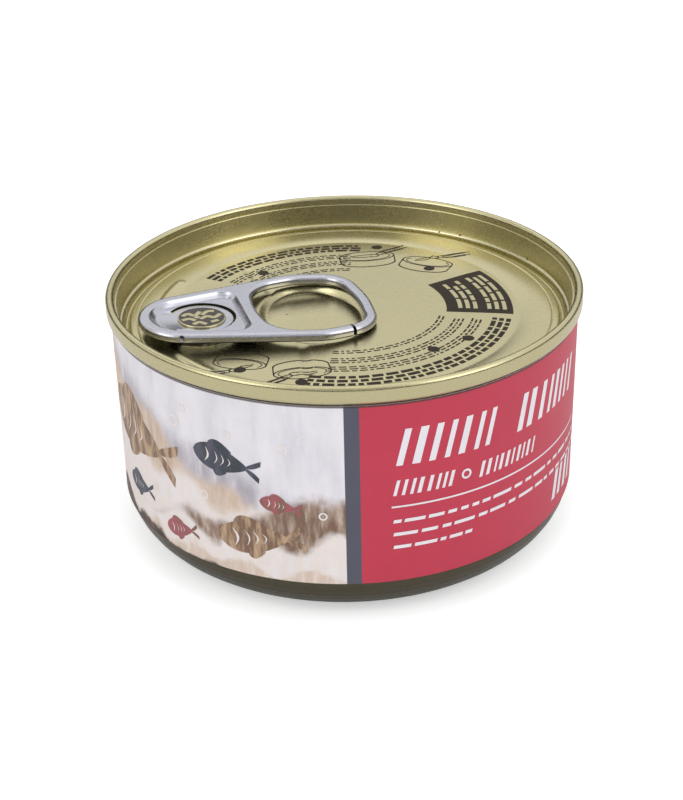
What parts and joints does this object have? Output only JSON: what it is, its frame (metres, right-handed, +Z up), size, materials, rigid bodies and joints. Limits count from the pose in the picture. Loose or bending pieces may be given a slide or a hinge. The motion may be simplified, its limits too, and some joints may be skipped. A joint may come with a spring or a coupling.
{
  "type": "cat food can",
  "caption": "Shut cat food can: drawn metal body, wrapped paper sleeve, and an easy-open end with a riveted ring-pull tab.",
  "frame": {"origin": "middle of the can's base, on the surface it stands on", "axes": "+Z up through the easy-open end; -Y is the front of the sleeve; the tab's nose points to -X, turned a little to the front"},
  "size_m": [0.0684, 0.0684, 0.0366],
  "materials": {
    "body_metal": "satin gold lacquer",
    "lid_metal": "glossy gold lacquer with dark print",
    "tab_metal": "bright, rolled edges",
    "label_paper": "coated paper with a satin print"
  },
  "bodies": {
    "root": {"can_body": "body_metal", "lid": "lid_metal", "pull_tab": "tab_metal", "label": "label_paper"}
  },
  "joints": []
}
